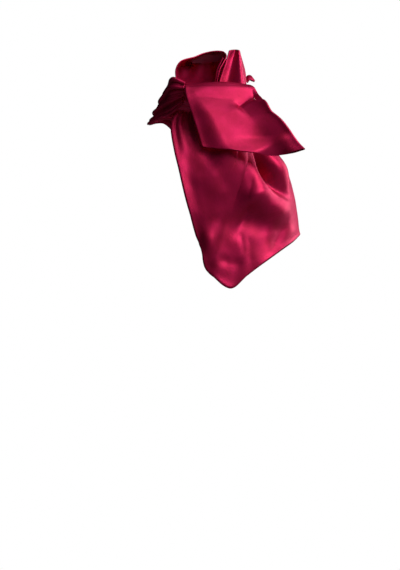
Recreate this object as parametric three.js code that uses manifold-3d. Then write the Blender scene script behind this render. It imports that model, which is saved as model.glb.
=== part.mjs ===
// Satin headband: one wide strip of doubled satin that runs round the back of the head, turns up
// over each ear and is tied above the forehead. One end falls over the left side as a broad flap.
// The other is folded up on the crown as an open loop and a standing fold.
// Millimetres, +Z up. The wearer faces -Y, and the left side of the head is towards +X.
// The origin is the crown of the head, where the tied strip sits.
import * as THREE from 'three';
import { mergeVertices } from 'three/addons/utils/BufferGeometryUtils.js';
import Module from 'manifold-3d';

const wasm = await Module();
wasm.setup();

// Driving dimensions
const CLOTH_THICKNESS = 2; // two layers of satin with the air between them
const SEAT_GAP = 0.3; // clear space left where one piece lies on another
const HEAD_RADIUS = 94.5; // of the head's profile, seen from the side
const BULGE_LEAN = 1.3; // puts the roundest part of a strip nearer its upper edge
const FLARE_REACH = 0.42; // share of the way across a strip over which its front edge flares
const FLARE_POWER = 1.7; // how late the flare sets in
const NORMAL_STEP = 1e-3; // step in strip coordinates used to find a surface's normal
const MERGE_DISTANCE = 1e-3; // vertices closer than this are one

// Mesh divisions along and across each piece
const DIVISIONS = {
  band: [112, 12],
  flap: [26, 14],
  loop: [52, 6],
  fold: [28, 7],
  tip: [8, 6],
  knot: [28, 18],
};

// Every table of rows below has one row for each section across a strip of cloth:
// front and back are the ends of the section, crown is how far it bulges off the straight line between
// them, gather is the height of its folds, drop is how far its middle hangs below that line, and flare
// is how far its front edge stands out sideways. A row without gather, drop or flare has none.

// The strip's left half, from its end under the knot down the side of the head to the middle of the
// back. front is the free edge (front of the side panel, then hem of the nape), back is the upper edge.
const LEFT_ROWS = [
  { front: [29, -23, -9.5], back: [14, 26, 2], crown: 4, gather: 2 },
  { front: [43, -28, -22], back: [30, 34, -5], crown: 6, gather: 1.6 },
  { front: [65, -25, -48], back: [42, 39, -18], crown: 7, gather: 0.8 },
  { front: [75, -18.6, -73], back: [46, 40, -27], crown: 8 },
  { front: [78, -10.5, -105], back: [48, 42.5, -32], crown: 10.5 },
  { front: [77, -0.3, -136], back: [49.5, 45, -34.5], crown: 10 },
  { front: [74.5, 6.5, -156], back: [50.5, 47.5, -36], crown: 9, flare: 4 },
  { front: [70, 13.3, -174], back: [50, 50.5, -37], crown: 8.5, flare: 9 },
  { front: [66, 32.5, -188.5], back: [48, 55.5, -37.5], crown: 8.5, flare: 9.5 },
  { front: [62, 50, -175], back: [45, 60, -37.5], crown: 9, flare: 8.5 },
  { front: [53, 72.5, -158], back: [38, 65, -37], crown: 10, flare: 8 },
  { front: [32, 93, -142.5], back: [27, 69.5, -37.5], crown: 11, flare: 5 },
  { front: [0, 105.5, -133], back: [0, 72.5, -38], crown: 9.5 },
];

// The strip's right end, from the temple over the front of the crown to the left of the knot.
const CROSSOVER_ROWS = [
  { front: [-66, -20, -50], back: [-42, 40, -18], crown: 8, gather: 0.8 },
  { front: [-50, -24, -27], back: [-31, 26, 0], crown: 8, gather: 2 },
  { front: [-27, -36, -14], back: [-16, 0, 11], crown: 6, gather: 3 },
  { front: [0, -52, -17], back: [0, -35, 14], crown: 0.5, gather: 0.9 },
  { front: [11, -41, -11.5], back: [10, -29, 25], crown: 1, gather: 1.2 },
  { front: [21, -28, -8], back: [20, -25, 31], crown: 1.5, gather: 1.2 },
  { front: [31, -15, 2], back: [28, -15, 21], crown: 1, gather: 0.5 },
];
const RIGHT_SETBACK = 3; // the right side lies this much further back than the left
const MIRRORED_FROM = 3; // first row of the left half that the right half repeats
const BACK_ROW = LEFT_ROWS.length - 1;
const STRIP_GATHERS = 3; // folds across the strip where it is drawn into the knot

// The pleat that takes up the slack where the upper edge turns round the back of the head. Its ridge
// slants from topRow under the flap to endRow, and its hollow runs from the ridge to hollowRow. Shares of
// the way over the hollow say where the drop ends, where the return starts and ends, and where a rim
// stands up beyond it. The whole pleat is lower by fade at the strip's upper edge.
const PLEAT = {
  topRow: 6.75,
  endRow: 10.8,
  hollowRow: 11.6,
  endsAt: 0.38,
  fullAt: 0.8,
  depth: 17,
  lip: 2.5,
  lipShare: 0.18,
  dropEnd: 0.28,
  returnStart: 0.3,
  returnEnd: 0.62,
  rim: 8,
  rimShare: 0.7,
  rimReach: 0.2,
  fade: 0.7,
  fadeFrom: 0.7,
};

// Soft folds drawn on the cloth as it is seen from the side. start and end are (y, z), height is outward,
// reach is how far a fold's slope runs above or to the right of its line, farReach is for the other side,
// and tip is for what lies past its ends.
const PANEL_FOLDS = [
  { start: [-8, -58], end: [4, -116], height: -4, reach: 34, farReach: 16, tip: 16 },
  { start: [36, -48], end: [58, -90], height: 8.5, reach: 14, farReach: 32, tip: 12 },
  { start: [58, -90], end: [80, -106], height: 4, reach: 10, farReach: 18, tip: 8 },
  { start: [43, -109], end: [76, -141], height: -6, reach: 9, farReach: 22, tip: 7 },
  { start: [86, -104], end: [91, -128], height: 4, reach: 10, farReach: 24, tip: 10 },
];
const PANEL_FOLD_ROWS = [2, 3.5]; // the panel's folds grow from nothing between these rows
const FLAP_FOLDS = [
  { start: [44, -5], end: [60, -14], height: -5, reach: 7, farReach: 12, tip: 8 },
  { start: [62, 8], end: [112, -52], height: 8, reach: 8, farReach: 26, tip: 8 },
  { start: [-9, 10], end: [23, -52], height: 9, reach: 60, farReach: 11, tip: 10 },
];
const FLAP_FOLD_ROWS = [2.4, 4.2]; // the flap's folds grow from nothing between these rows

// The flap: out of the knot, over its top fold, down the left side to a hem of the strip's full width.
const FLAP_ROWS = [
  { front: [18, -6, 15], back: [20, 30, 15], crown: 1 },
  { front: [29, -12, 18.5], back: [33, 44, 18.5], crown: 2.5 },
  { front: [37, -13.5, 19], back: [38, 54, 19], crown: 5.5 },
  { front: [45, -14, 15], back: [43, 57, 15.5], crown: 4 },
  { front: [51, -12.5, 3], back: [49, 66.5, 3], crown: 4 },
  { front: [58, -8, -12], back: [56, 78, -12], crown: 4, drop: 0.5 },
  { front: [69, -2, -30], back: [64, 91, -28], crown: 4, drop: 2 },
  { front: [77, 3, -46], back: [70, 104.5, -46], crown: 3.5, gather: 1.5, drop: 5 },
];
const FLAP_HEM_WAVES = 2.5;

// The loop on the crown: rows go round it from inside its right wall, under, up the left and over the top,
// and down the right wall again on the outside. front is its open rim towards the left of the head, and
// back the pinched end towards the right, where the top lies over the bottom.
const LOOP_ROWS = [
  { front: [29.5, 18, 40], back: [-14, 14, 40.5], crown: 3 },
  { front: [30, 15.6, 28], back: [-14, 11, 37.5], crown: 4 },
  { front: [32, 4, 25.5], back: [-14, 5, 36], crown: 3.5 },
  { front: [33, -10, 25.5], back: [-14, -3, 36], crown: 3.5 },
  { front: [34, -20.5, 28.5], back: [-15, -8.5, 37.5], crown: 4 },
  { front: [34, -23.5, 36], back: [-18, -10, 40.5], crown: 5 },
  { front: [34, -19.5, 43.5], back: [-21, -7, 43], crown: 3 },
  { front: [33, -5, 48], back: [-23, 1, 42.5], crown: 2.5 },
  { front: [32, 3, 52], back: [-24, 6, 41.5], crown: 3 },
  { front: [31, 14, 55.5], back: [-24, 11, 41.5], crown: 3 },
  { front: [29, 26, 54.5], back: [-23, 16.5, 41], crown: 2.5 },
  { front: [28, 28.5, 50.5], back: [-22, 18.5, 40], crown: 2 },
  { front: [29, 22, 38], back: [-21, 18.5, 37], crown: 3 },
  { front: [30, 20, 27], back: [-20, 18, 34], crown: 3 },
];

// The standing fold behind the loop: rows go round it from behind the loop's rim over its valley and its
// ridge to the right of the head. front is its foot and back its peak.
const FOLD_ROWS = [
  { front: [29, 22.5, 25], back: [6, 28, 54], crown: 0 },
  { front: [27.5, 26, 25], back: [18.5, 31, 59.5], crown: 0 },
  { front: [25, 30.5, 25], back: [17, 35.5, 60.8], crown: 0 },
  { front: [27, 45, 23], back: [15, 41, 59.5], crown: 0 },
  { front: [4, 49, 15], back: [2, 41.5, 56], crown: 3 },
  { front: [-14, 43, 12], back: [-5, 35, 52], crown: 3 },
  { front: [-25, 34, 14], back: [-15, 29, 47], crown: 1 },
  { front: [-25, 23, 18], back: [-19, 25, 42], crown: 0 },
];

// The corner of the folded end, which shows behind the standing fold.
const TIP_ROWS = [
  { front: [5, 43, 25], back: [-8, 43, 34], crown: 1 },
  { front: [4, 51, 28], back: [-6, 51, 36], crown: 2 },
  { front: [2, 56, 29.5], back: [-4, 56, 35], crown: 1.5 },
  { front: [0, 59.5, 31], back: [-1.5, 59.5, 33], crown: 0 },
];

// The knot: a squarish lump of wound cloth with grooves round it.
const KNOT = { centre: [-3, 5, 12], radii: [28, 40, 12.9], squareness: 3, grooves: 3, grooveDepth: 0.05 };

const satin = new THREE.MeshStandardMaterial({ color: 0x9c0f3c, roughness: 0.38, metalness: 0.2 });
const satinShade = new THREE.MeshStandardMaterial({ color: 0x6e0a2b, roughness: 0.42, metalness: 0.2 });

// A rise and fall from 0 through 1 in the middle to 0.
function arch(share) {
  return 4 * share * (1 - share);
}

// A smooth curve through one edge of a strip's rows.
function edgeCurve(rows, edge) {
  return new THREE.CatmullRomCurve3(rows.map((row) => new THREE.Vector3(...row[edge])));
}

// The unit tangents of a surface at (u, v), along and across it, and its unit normal.
function directionsAt(surface, u, v) {
  const ahead = surface(Math.min(u + NORMAL_STEP, 1), v);
  const along = ahead.sub(surface(Math.max(u - NORMAL_STEP, 0), v)).normalize();
  const across = surface(u, v + NORMAL_STEP).sub(surface(u, v - NORMAL_STEP)).normalize();
  const normal = along.clone().cross(across).normalize();
  return { along, across, normal };
}

// Which rim a share lies on: -1 at the start, 1 at the end and 0 between them.
function rimSide(share) {
  return Math.floor(share) - Math.floor(1 - share);
}

// The height of a table of folds at a point of the cloth.
function foldHeight(folds, { y, z }) {
  let total = 0;
  for (const { start, end, height, reach, farReach, tip } of folds) {
    const run = new THREE.Vector2(...end).sub(new THREE.Vector2(...start));
    const off = new THREE.Vector2(y, z).sub(new THREE.Vector2(...start));
    const along = off.dot(run) / run.length();
    const aside = run.cross(off) / run.length();
    const across = aside / (aside > 0 ? reach : farReach);
    const past = Math.max(-along, along - run.length(), 0) / tip;
    total += height * Math.exp(-(across ** 2) - past ** 2);
  }
  return total;
}

// A strip of cloth as a surface of u along it and v from its front edge to its back edge. It is straight
// from edge to edge, lowered by drop and flared, then raised along its normal by crown and gathers, and
// by any relief, which may depend on the point reached so far.
function strip(rows, { folds = 0, relief = () => 0 } = {}) {
  const front = edgeCurve(rows, 'front');
  const back = edgeCurve(rows, 'back');
  const form = new THREE.CatmullRomCurve3(
    rows.map(({ crown, gather = 0, drop = 0 }) => new THREE.Vector3(crown, gather, drop)),
  );
  const flares = new THREE.CatmullRomCurve3(rows.map(({ flare = 0 }) => new THREE.Vector3(flare, 0, 0)));
  const straight = (u, v) => {
    const along = THREE.MathUtils.clamp(u, 0, 1);
    const point = front.getPoint(along).lerp(back.getPoint(along), v);
    point.x += flares.getPoint(along).x * THREE.MathUtils.clamp(1 - v / FLARE_REACH, 0, 1) ** FLARE_POWER;
    point.z -= form.getPoint(along).z * arch(v);
    return point;
  };
  return (u, v) => {
    const { x: crown, y: gather } = form.getPoint(THREE.MathUtils.clamp(u, 0, 1));
    const bulge = crown * arch(THREE.MathUtils.clamp(v, 0, 1) ** BULGE_LEAN);
    const ripple = gather * Math.sin(2 * Math.PI * folds * v);
    const { normal } = directionsAt(straight, u, v);
    const point = straight(u, v).addScaledVector(normal, bulge + ripple);
    return point.addScaledVector(normal, relief(u, v, point));
  };
}

// A closed wall: the surface moved half the cloth's thickness to each side, with its rim closed.
// A grown wall is larger by grow on its faces and its rim.
function wall(surface, [along, across], grow) {
  const positions = [];
  const indices = [];
  const sideSize = (along + 1) * (across + 1);
  for (const side of [1, -1]) {
    for (let i = 0; i <= along; i += 1) {
      for (let j = 0; j <= across; j += 1) {
        const [u, v] = [i / along, j / across];
        const directions = directionsAt(surface, u, v);
        const point = surface(u, v).addScaledVector(directions.normal, side * (CLOTH_THICKNESS / 2 + grow));
        point.addScaledVector(directions.along, rimSide(u) * grow);
        point.addScaledVector(directions.across, rimSide(v) * grow);
        positions.push(...point);
      }
    }
  }
  const outer = (i, j) => i * (across + 1) + j;
  const inner = (i, j) => sideSize + outer(i, j);
  const quad = (a, b, c, d) => indices.push(a, b, c, a, c, d);
  for (let i = 0; i < along; i += 1) {
    for (let j = 0; j < across; j += 1) {
      quad(outer(i, j), outer(i + 1, j), outer(i + 1, j + 1), outer(i, j + 1));
      quad(inner(i, j), inner(i, j + 1), inner(i + 1, j + 1), inner(i + 1, j));
    }
    quad(outer(i + 1, 0), outer(i, 0), inner(i, 0), inner(i + 1, 0));
    quad(outer(i, across), outer(i + 1, across), inner(i + 1, across), inner(i, across));
  }
  for (let j = 0; j < across; j += 1) {
    quad(outer(0, j), outer(0, j + 1), inner(0, j + 1), inner(0, j));
    quad(outer(along, j + 1), outer(along, j), inner(along, j), inner(along, j + 1));
  }
  const geometry = new THREE.BufferGeometry();
  geometry.setAttribute('position', new THREE.BufferAttribute(new Float32Array(positions), 3));
  geometry.setIndex(indices);
  return geometry;
}

// The row coordinate of the pleat's ridge, which slants across the strip.
function ridgeRow(v) {
  return THREE.MathUtils.mapLinear(Math.max(v, PLEAT.endsAt), PLEAT.endsAt, 1, PLEAT.endRow, PLEAT.topRow);
}

// The pleat's height at a row coordinate: a raised lip on the ridge, a steep drop, a return and a rim.
function pleatHeight(row, v) {
  const { smoothstep } = THREE.MathUtils;
  const rise = smoothstep(v, PLEAT.endsAt, PLEAT.fullAt);
  const past = (row - ridgeRow(v)) / (PLEAT.hollowRow - ridgeRow(v));
  const lip = PLEAT.lip * Math.exp(-((past / PLEAT.lipShare) ** 2));
  const fall = smoothstep(past, 0, PLEAT.dropEnd);
  const back = smoothstep(past, PLEAT.returnStart, PLEAT.returnEnd);
  const rim = PLEAT.rim * Math.exp(-(((past - PLEAT.rimShare) / PLEAT.rimReach) ** 2));
  const fade = 1 - PLEAT.fade * smoothstep(v, PLEAT.fadeFrom, 1);
  return rise * fade * (lip + rim - PLEAT.depth * fall * (1 - back));
}

// Slides a row coordinate along the strip so that one line of the mesh follows the pleat's ridge.
function followRidge(row, v) {
  if (row <= 0) {
    return row;
  }
  if (row <= PLEAT.topRow) {
    return (row * ridgeRow(v)) / PLEAT.topRow;
  }
  return THREE.MathUtils.mapLinear(row, PLEAT.topRow, BACK_ROW, ridgeRow(v), BACK_ROW);
}

// The whole strip: its left half, the right half as the mirror of it, and the crossover.
function headBand(grow) {
  const mirrored = ({ front, back, flare = 0, ...form }) => ({
    front: [-front[0], front[1] + RIGHT_SETBACK, front[2]],
    back: [-back[0], back[1], back[2]],
    flare: -flare,
    ...form,
  });
  const rightRows = LEFT_ROWS.slice(MIRRORED_FROM, BACK_ROW).reverse().map(mirrored);
  const rows = [...LEFT_ROWS, ...rightRows, ...CROSSOVER_ROWS];
  const lastRow = rows.length - 1;
  const fromEnd = (row) => BACK_ROW - Math.abs(BACK_ROW - row);
  const relief = (u, v, point) => {
    const row = fromEnd(u * lastRow);
    const place = point.clone();
    place.y -= u * lastRow > BACK_ROW ? RIGHT_SETBACK : 0;
    const folds = THREE.MathUtils.smoothstep(row, ...PANEL_FOLD_ROWS) * foldHeight(PANEL_FOLDS, place);
    return pleatHeight(row, v) + folds;
  };
  const cloth = strip(rows, { folds: STRIP_GATHERS, relief });
  const surface = (u, v) => {
    const side = Math.sign(u * lastRow - BACK_ROW);
    const row = followRidge(fromEnd(u * lastRow), v);
    return cloth((BACK_ROW + side * (BACK_ROW - row)) / lastRow, v);
  };
  return wall(surface, DIVISIONS.band, grow);
}

// The flap: bent back along its left edge, raised along its right edge, with a dimple by its tack stitch.
function sideFlap(grow) {
  const lastRow = FLAP_ROWS.length - 1;
  const relief = (u, v, point) => {
    const grown = THREE.MathUtils.smoothstep(u * lastRow, ...FLAP_FOLD_ROWS);
    return grown * foldHeight(FLAP_FOLDS, point);
  };
  return wall(strip(FLAP_ROWS, { folds: FLAP_HEM_WAVES, relief }), DIVISIONS.flap, grow);
}

// The knot: a squared ellipsoid with grooves round it, which follows the head down behind the crown.
function knot(grow) {
  const geometry = new THREE.SphereGeometry(1, ...DIVISIONS.knot).rotateZ(Math.PI / 2);
  const point = new THREE.Vector3();
  const positions = geometry.getAttribute('position');
  const radii = new THREE.Vector3(...KNOT.radii).addScalar(grow);
  for (let i = 0; i < positions.count; i += 1) {
    point.fromBufferAttribute(positions, i);
    const groove = Math.cos(Math.PI * KNOT.grooves * point.x) * (1 - point.x ** 2);
    const reach = point.toArray().reduce((sum, part) => sum + Math.abs(part) ** KNOT.squareness, 0);
    point.multiplyScalar((1 + KNOT.grooveDepth * groove) / reach ** (1 / KNOT.squareness)).multiply(radii);
    point.add(new THREE.Vector3(...KNOT.centre));
    point.z -= Math.max(point.y, 0) ** 2 / (2 * HEAD_RADIUS);
    positions.setXYZ(i, ...point);
  }
  return geometry;
}

// A closed geometry as a solid that can be cut.
function solidOf(geometry) {
  const bare = new THREE.BufferGeometry();
  bare.setAttribute('position', geometry.getAttribute('position'));
  bare.setIndex(geometry.index);
  const merged = mergeVertices(bare, MERGE_DISTANCE);
  const vertProperties = new Float32Array(merged.getAttribute('position').array);
  const triVerts = new Uint32Array(merged.index.array);
  return new wasm.Manifold(new wasm.Mesh({ numProp: 3, vertProperties, triVerts }));
}

// What is left of a piece once its neighbours, each grown by the seat gap, are cut out of it.
function seated(geometry, neighbours) {
  let solid = solidOf(geometry);
  for (const neighbour of neighbours) {
    solid = solid.subtract(solidOf(neighbour));
  }
  const bodies = solid.decompose().sort((a, b) => b.volume() - a.volume());
  const mesh = bodies[0].getMesh();
  const cut = new THREE.BufferGeometry();
  cut.setAttribute('position', new THREE.BufferAttribute(mesh.vertProperties, 3));
  cut.setIndex(new THREE.BufferAttribute(mesh.triVerts, 1));
  return cut;
}

function piece(name, geometry, material) {
  geometry.computeVertexNormals();
  const mesh = new THREE.Mesh(geometry, material);
  mesh.name = name;
  return mesh;
}

const crownLoop = (grow) => wall(strip(LOOP_ROWS), DIVISIONS.loop, grow);
const standingFold = (grow) => wall(strip(FOLD_ROWS), DIVISIONS.fold, grow);
const tailTip = (grow) => wall(strip(TIP_ROWS), DIVISIONS.tip, grow);

const grownKnot = knot(SEAT_GAP);
const grownBand = headBand(SEAT_GAP);
const grownFlap = sideFlap(SEAT_GAP);
const grownLoop = crownLoop(SEAT_GAP);
const grownFold = standingFold(SEAT_GAP);

const band = new THREE.Group();
band.add(piece('head_band', seated(headBand(0), [grownKnot]), satin));

const bow = new THREE.Group();
bow.add(
  piece('knot', seated(knot(0), []), satinShade),
  piece('side_flap', seated(sideFlap(0), [grownKnot, grownBand]), satin),
  piece('crown_loop', seated(crownLoop(0), [grownKnot, grownBand, grownFlap]), satin),
  piece('standing_fold', seated(standingFold(0), [grownKnot, grownFlap, grownLoop]), satin),
  piece('tail_tip', seated(tailTip(0), [grownFlap, grownLoop, grownFold]), satinShade),
);

const headband = new THREE.Group();
headband.add(band, bow);
export default headband;
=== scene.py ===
"""Looks of the satin headband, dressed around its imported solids.

One wide strip of doubled satin runs round the back of the head, turns up over each ear and is tied above
the forehead. One end falls over the left side as a broad flap, and the other stands on the crown as an open
loop with a fold and a corner behind it. Sizes in the tables are millimetres, and meshes are in metres.
"""

import logging
import math
from abc import ABC, abstractmethod
from dataclasses import dataclass
from enum import Enum
from typing import Any, Callable, Sequence

import bpy
import numpy as np
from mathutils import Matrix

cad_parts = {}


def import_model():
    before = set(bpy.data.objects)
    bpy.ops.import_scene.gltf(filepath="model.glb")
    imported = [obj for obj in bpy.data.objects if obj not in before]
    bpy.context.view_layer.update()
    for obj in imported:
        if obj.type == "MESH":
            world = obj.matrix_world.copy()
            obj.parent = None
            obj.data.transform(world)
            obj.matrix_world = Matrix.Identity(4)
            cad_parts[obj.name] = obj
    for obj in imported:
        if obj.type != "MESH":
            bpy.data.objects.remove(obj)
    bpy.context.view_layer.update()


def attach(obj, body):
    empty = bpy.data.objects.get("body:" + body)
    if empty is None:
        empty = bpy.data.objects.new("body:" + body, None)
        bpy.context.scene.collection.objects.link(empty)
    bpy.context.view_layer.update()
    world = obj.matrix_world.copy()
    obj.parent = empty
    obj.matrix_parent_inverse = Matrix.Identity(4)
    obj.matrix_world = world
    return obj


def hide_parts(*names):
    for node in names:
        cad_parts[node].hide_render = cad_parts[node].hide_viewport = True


Array = np.ndarray
Point = tuple[float, float, float]
Spot = tuple[float, float]
Span = tuple[float, float]
Colour = tuple[float, float, float, float]
Spread = Callable[[Array, Array], Array]
Relief = Callable[[Array, Array, Array], Array]

LOG = logging.getLogger("headband")
BODY = "root"
CLOTH_MAP = "cloth"
WHITE: Colour = (1.0, 1.0, 1.0, 1.0)

# One millimetre in metres
MM = 0.001
# Steps for normals, in rows or shares: a fine one, and a broad one that evens out the turn at each row
FINE_STEP = 1e-3
BROAD_STEP = 0.08
# Lengths that count as nothing
TINY = 1e-9
MERGED = 1e-4
# How far across the strip a flared edge reaches, and how quickly it dies away
FLARE_REACH = 0.42
FLARE_POWER = 1.7
# Straight steps in which the length of a strip is walked
WALK_STEPS = 400


class Hold(Enum):
    """How a sheet of cloth is held."""

    STRETCHED = "stretched"
    GATHERED = "gathered"
    FOLDED = "folded"
    HUNG = "hung"


class End(Enum):
    """How the last ring of a doubled strip is finished."""

    CLOSED = "closed"
    OPEN = "open"


def ramp(value: Array, low: float, high: float) -> Array:
    """Smooth step: 0 below low, 1 above high, and 3t^2 - 2t^3 between them.

    Args:
        value: Any array.
        low: Where the step starts.
        high: Where the step ends.

    Returns:
        The step's height for each value.
    """
    share = np.clip((value - low) / (high - low), 0.0, 1.0)
    return share * share * (3.0 - 2.0 * share)


def bell(value: Array, reach: float | Array) -> Array:
    """Bell curve: e to the power of minus (value / reach) squared."""
    return np.exp(-((value / reach) ** 2))


def arch(share: Array) -> Array:
    """A rise and fall from 0 through 1 in the middle to 0: 4 s (1 - s)."""
    return 4.0 * share * (1.0 - share)


def unit(vectors: Array) -> Array:
    """Vectors divided by their own lengths."""
    return vectors / np.maximum(np.linalg.norm(vectors, axis=-1, keepdims=True), TINY)


def root_distance(start: Array, end: Array, instead: float | Array) -> Array:
    """Square root of the distance between points, or another value where they coincide."""
    root = np.sqrt(np.linalg.norm(end - start, axis=-1, keepdims=True))
    return np.where(root < MERGED, instead, root)


def spline(points: Array, place: Array) -> Array:
    """Centripetal Catmull-Rom curve through points, at places counted in points.

    Each span is a cubic. Its end slopes come from the neighbouring points, weighed by the square roots of
    the distances between them, and the curve's two ends are carried on straight.

    Args:
        points: The points, one row each.
        place: Where on the curve, from 0 at the first point, in any shape.

    Returns:
        The curve's points, in the shape of place with the coordinates last.
    """
    ends = 2.0 * points[[0, -1]] - points[[1, -2]]
    knots = np.vstack([ends[:1], points, ends[1:]])
    span = np.clip(np.floor(place).astype(int), 0, len(points) - 2)
    share = (place - span)[..., None]
    p0, p1, p2, p3 = (knots[span + step] for step in range(4))
    gap = root_distance(p1, p2, 1.0)
    before = root_distance(p0, p1, gap)
    after = root_distance(p2, p3, gap)
    leave = gap * ((p1 - p0) / before - (p2 - p0) / (before + gap) + (p2 - p1) / gap)
    arrive = gap * ((p2 - p1) / gap - (p3 - p1) / (gap + after) + (p3 - p2) / after)
    square = 3.0 * (p2 - p1) - 2.0 * leave - arrive
    cube = 2.0 * (p1 - p2) + leave + arrive
    return p1 + share * (leave + share * (square + share * cube))


@dataclass(frozen=True)
class Window:
    """A stretch where something shows: it fades in, stays full and fades out."""

    rise_from: float
    full_from: float
    full_to: float
    gone_at: float

    def share(self, value: Array) -> Array:
        """One smooth step up times one smooth step down."""
        return ramp(value, self.rise_from, self.full_from) * (1.0 - ramp(value, self.full_to, self.gone_at))


@dataclass(frozen=True)
class Crest:
    """A rounded crest, or a trough where its height is negative."""

    height: float
    place: float
    reach: float

    def rise(self, value: Array) -> Array:
        """The height times a bell round the place."""
        return self.height * bell(value - self.place, self.reach)


@dataclass(frozen=True)
class Ripple:
    """Even small folds across a strip."""

    height: float
    count: float
    phase: float

    def rise(self, across: Array) -> Array:
        """A sine with count waves in the strip's width."""
        return self.height * np.sin(math.tau * self.count * across + self.phase)


@dataclass(frozen=True)
class Fold:
    """A straight ridge or valley drawn on the cloth as seen from the side.

    start and end are (y, z), height is outward, and reach is how far its slope runs above or to the right
    of the line. far_reach is for the other side, and tip for what lies past the ends.
    """

    start: Spot
    end: Spot
    height: float
    reach: float
    far_reach: float
    tip: float

    def rise(self, y: Array, z: Array) -> Array:
        """Height of the fold: a bell across its line, faded by a second bell past its ends.

        Args:
            y: Side-view places, to the right.
            z: Side-view places, upward.

        Returns:
            The height at each place.
        """
        run_y = self.end[0] - self.start[0]
        run_z = self.end[1] - self.start[1]
        length = math.hypot(run_y, run_z)
        off_y = y - self.start[0]
        off_z = z - self.start[1]
        along = (off_y * run_y + off_z * run_z) / length
        aside = (off_z * run_y - off_y * run_z) / length
        past = np.maximum(np.maximum(-along, along - length), 0.0)
        reach = np.where(aside > 0.0, self.reach, self.far_reach)
        return self.height * bell(aside, reach) * bell(past, self.tip)


@dataclass(frozen=True)
class Mottle:
    """Soft unevenness of hand-tied cloth: a sum of slow waves in seeded directions."""

    seed: int
    height: float
    shortest: float
    longest: float
    waves: int = 10

    def rise(self, y: Array, z: Array) -> Array:
        """Height of the waves: sines of drawn lengths and directions, over the root of their number.

        Args:
            y: Places along one direction.
            z: Places along the other.

        Returns:
            The height at each place.
        """
        draw = np.random.default_rng(self.seed)
        turn = draw.uniform(0.0, math.tau, self.waves)
        length = draw.uniform(self.shortest, self.longest, self.waves)
        phase = draw.uniform(0.0, math.tau, self.waves)
        total = np.zeros_like(y)
        for angle, size, start in zip(turn, length, phase):
            total += np.sin(math.tau * (y * math.cos(angle) + z * math.sin(angle)) / size + start)
        return self.height * total / math.sqrt(self.waves)


@dataclass(frozen=True)
class Row:
    """One section across a strip: its two ends, and the form of the cloth between them.

    crown is how far the cloth bulges off the straight line, gather is the height of its small folds, drop
    is how far its middle hangs below the line, and flare is how far its front edge stands out sideways.
    """

    front: Point
    back: Point
    crown: float = 0.0
    gather: float = 0.0
    drop: float = 0.0
    flare: float = 0.0

    def mirrored(self, setback: float) -> "Row":
        """The same section on the right side of the head: every x and the flare change sign.

        Args:
            setback: How much further back the front edge lies there.

        Returns:
            The mirrored section.
        """
        front = (-self.front[0], self.front[1] + setback, self.front[2])
        back = (-self.back[0], self.back[1], self.back[2])
        return Row(front, back, self.crown, self.gather, self.drop, -self.flare)


@dataclass
class StripSurface:
    """The middle surface of a strip of cloth, over a row coordinate and a share across it.

    It is straight from edge to edge, lowered by the rows' drop, then raised along its normal by their
    crown, by gathers and by any relief. slide moves a row coordinate along the cloth, which makes an
    overhang where the height is steep. lean moves the crown's top towards the back edge.
    """

    rows: Sequence[Row]
    gathers: float = 0.0
    relief: Relief | None = None
    slide: Spread | None = None
    lean: float = 1.3

    def __post_init__(self) -> None:
        """Gather the rows' columns as arrays."""
        self.fronts = np.array([row.front for row in self.rows], float)
        self.backs = np.array([row.back for row in self.rows], float)
        self.forms = np.array([(row.crown, row.gather, row.drop, row.flare) for row in self.rows], float)

    @property
    def last(self) -> float:
        """The row coordinate of the far end."""
        return float(len(self.rows) - 1)

    def straight(self, row: Array, across: Array) -> Array:
        """Points on the straight sections: front + across (back - front), less drop times an arch.

        The front edge stands out along X by flare times (1 - across / FLARE_REACH) to FLARE_POWER.

        Args:
            row: Row coordinates, held at the two ends.
            across: Shares of the way from the front edge to the back edge.

        Returns:
            The points in millimetres.
        """
        row = np.clip(row, 0.0, self.last)
        front = spline(self.fronts, row)
        back = spline(self.backs, row)
        points = front + across[..., None] * (back - front)
        form = spline(self.forms, row)
        points[..., 2] -= form[..., 2] * arch(across)
        points[..., 0] += form[..., 3] * np.clip(1.0 - across / FLARE_REACH, 0.0, 1.0) ** FLARE_POWER
        return points

    def point(self, row: Array, across: Array) -> Array:
        """Points of the cloth: the straight section plus its normal times the height of the form.

        Args:
            row: Row coordinates.
            across: Shares of the way from the front edge to the back edge, in the same shape.

        Returns:
            The points in millimetres.
        """
        form = spline(self.forms, np.clip(row, 0.0, self.last))
        inside = np.clip(across, 0.0, 1.0)
        height = form[..., 0] * arch(inside**self.lean)
        height = height + form[..., 1] * np.sin(math.tau * self.gathers * across)
        moved = row if self.slide is None else row + self.slide(row, across)
        base = self.straight(moved, across)
        normal = self.normal(self.straight, moved, across, BROAD_STEP)
        if self.relief is not None:
            height = height + self.relief(row, across, base + normal * height[..., None])
        return base + normal * height[..., None]

    def normal(self, surface: Spread, row: Array, across: Array, step: float = FINE_STEP) -> Array:
        """Unit normals: the cross product of a step along the strip and a fine one across it.

        Args:
            surface: The surface whose normals are wanted.
            row: Row coordinates.
            across: Shares across the strip.
            step: Half of the step along the strip, in rows.

        Returns:
            A unit vector at each place.
        """
        along = surface(row + step, across) - surface(row - step, across)
        aside = surface(row, across + FINE_STEP) - surface(row, across - FINE_STEP)
        return unit(np.cross(along, aside))

    def width(self, row: Array) -> Array:
        """Straight width of each section."""
        row = np.clip(row, 0.0, self.last)
        return np.linalg.norm(spline(self.backs, row) - spline(self.fronts, row), axis=-1)

    def travelled(self, row: Array) -> Array:
        """Distance walked along the middle of the strip: the running sum of short straight steps.

        Args:
            row: Row coordinates.

        Returns:
            The distance from the first row to each of them.
        """
        steps = np.linspace(0.0, self.last, WALK_STEPS)
        middle = 0.5 * (spline(self.fronts, steps) + spline(self.backs, steps))
        walked = np.concatenate([[0.0], np.cumsum(np.linalg.norm(np.diff(middle, axis=0), axis=1))])
        return np.interp(row, steps, walked)


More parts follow.
